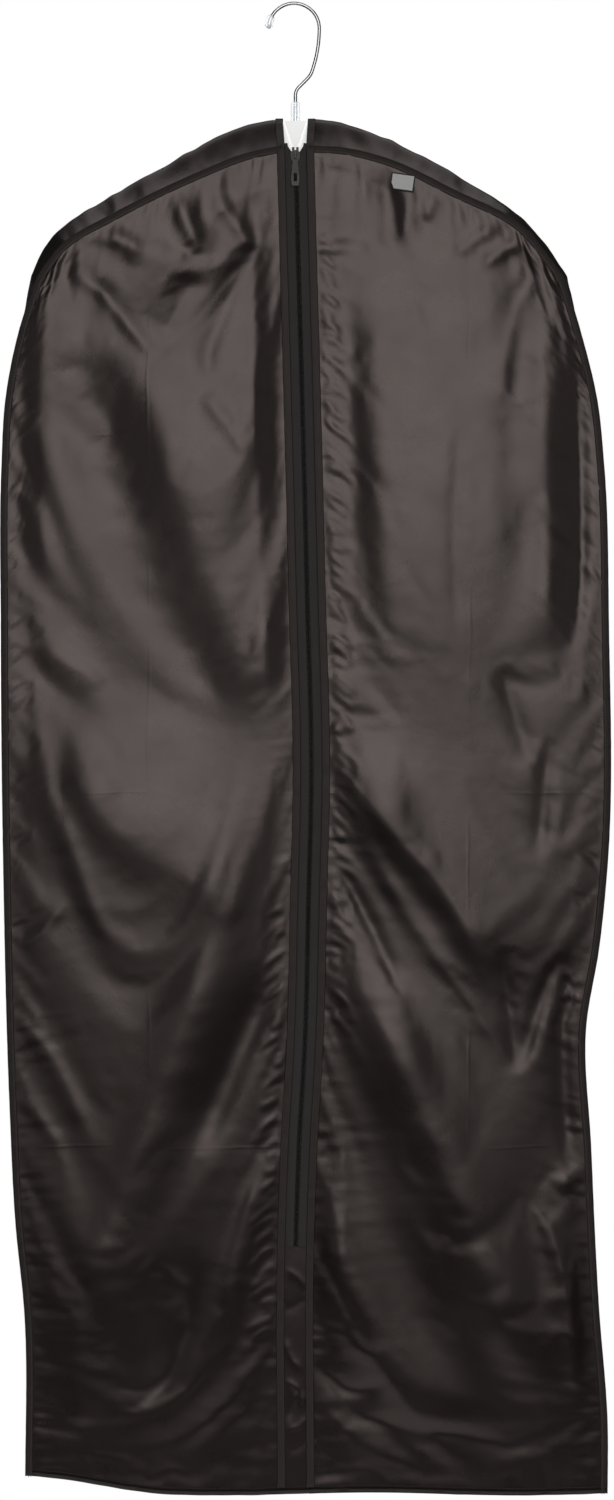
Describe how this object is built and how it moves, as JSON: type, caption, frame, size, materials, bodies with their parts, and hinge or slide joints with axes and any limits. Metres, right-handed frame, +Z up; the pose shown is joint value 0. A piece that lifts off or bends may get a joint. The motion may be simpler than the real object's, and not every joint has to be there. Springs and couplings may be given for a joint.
{
  "type": "garment bag",
  "caption": "Long gusseted nylon garment bag with a full-length front zip, hanging on a white plastic hanger with a swivel wire hook.",
  "frame": {"origin": "the point on the inside of the hook's crown where a rail carries the bag", "axes": "+X to the right seen from the front, +Y towards the back, +Z up along the swivel"},
  "size_m": [0.61, 0.0559, 1.4933],
  "materials": {
    "nylon": "very dark brown-black nylon taffeta with a satin sheen",
    "binding": "dark bias tape of the same cloth, stitched along both edges",
    "zip_tape": "black woven zip tape",
    "zip_coil": "black nylon coil",
    "zip_metal": "black enamelled zinc",
    "label": "blank grey woven label with a dark edge",
    "wire": "bright chrome-plated wire",
    "clear_plastic": "clear moulded plastic",
    "hanger": "white moulded plastic"
  },
  "bodies": {
    "hook": {"hook_wire": "wire", "hook_tip_cap": "clear_plastic", "hook_retainer": "wire"},
    "bag": {"back_panel": "nylon", "back_seam_binding_left": "binding", "back_seam_binding_right": "binding", "bottom_binding": "binding", "front_panel_left": "nylon", "front_panel_right": "nylon", "front_seam_binding_left": "binding", "front_seam_binding_right": "binding", "gusset_left": "nylon", "gusset_right": "nylon", "hanger_body": "hanger", "lower_infill_strip": "nylon", "neck_binding_left": "binding", "neck_binding_right": "binding", "placket_binding_left": "binding", "placket_binding_right": "binding", "swivel_collar": "clear_plastic", "woven_label": "label", "zip_bottom_stop": "zip_metal", "zip_coil_left": "zip_coil", "zip_coil_right": "zip_coil", "zip_tape_left": "zip_tape", "zip_tape_right": "zip_tape", "zip_top_stop_left": "zip_metal", "zip_top_stop_right": "zip_metal"},
    "zip_slider": {"zip_slider": "zip_metal"},
    "zip_pull": {"zip_pull_tab": "zip_metal"}
  },
  "joints": [
    {"name": "hook_swivel", "type": "hinge", "parent": "hook", "child": "bag", "pos_m": [0, 0, -0.117], "axis": [0, 0, 1], "continuous": true},
    {"name": "zip_run", "type": "slide", "parent": "bag", "child": "zip_slider", "axis": [0, 0.0152, -0.9999], "range_m": [0, 1.078]},
    {"name": "pull_tab_hinge", "type": "hinge", "parent": "zip_slider", "child": "zip_pull", "pos_m": [0, -0.02822, -0.15487], "axis": [-1, 0, 0], "range_deg": [0, 160]}
  ]
}
